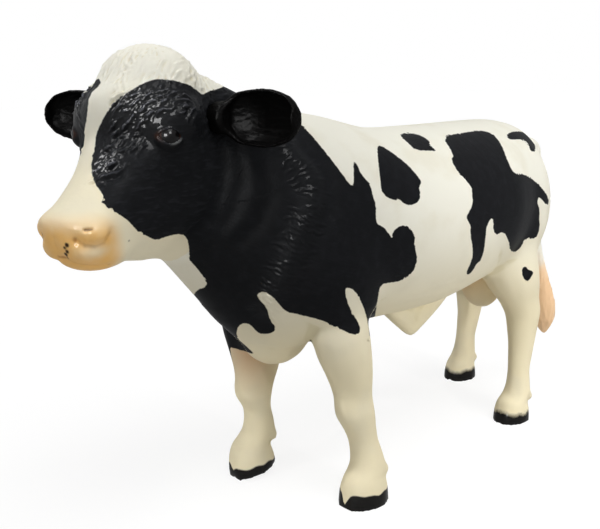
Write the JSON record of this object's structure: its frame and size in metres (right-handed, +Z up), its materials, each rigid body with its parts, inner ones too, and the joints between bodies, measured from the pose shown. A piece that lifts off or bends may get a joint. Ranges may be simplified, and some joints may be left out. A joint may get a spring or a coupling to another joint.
{
  "type": "bull figure",
  "caption": "Walking bull figure in painted plastic with a turned head, push-fit legs and head, twist-fit ears and a tail that swings on its plug.",
  "frame": {"origin": "on the ground under the middle of the figure's bounding box", "axes": "+Z up, the bull walks along -Y and its left side is +X"},
  "size_m": [0.0624, 0.1524, 0.097],
  "materials": {
    "coat": "satin white paint with black patches on cream PVC",
    "ear_black": "glossy black paint",
    "eye_gloss": "clear-coated brown and black"
  },
  "bodies": {
    "figure": {"torso": "coat", "head": "coat", "left_foreleg": "coat", "right_foreleg": "coat", "left_hind_leg": "coat", "right_hind_leg": "coat", "left_eye": "eye_gloss", "right_eye": "eye_gloss"},
    "left_ear": {"left_ear": "ear_black"},
    "right_ear": {"right_ear": "ear_black"},
    "tail": {"tail": "coat"}
  },
  "joints": [
    {"name": "left_ear_turn", "type": "hinge", "parent": "figure", "child": "left_ear", "pos_m": [0.01137, -0.04355, 0.083], "axis": [0.9922, 0.1246, 0], "range_deg": [-20, 20]},
    {"name": "right_ear_turn", "type": "hinge", "parent": "figure", "child": "right_ear", "pos_m": [-0.01263, -0.04972, 0.0831], "axis": [-0.9033, -0.4272, 0.0392], "range_deg": [-20, 20]},
    {"name": "tail_swing", "type": "hinge", "parent": "figure", "child": "tail", "pos_m": [0.00514, 0.06444, 0.0695], "axis": [0, 1, 0], "range_deg": [-20, 20]}
  ]
}
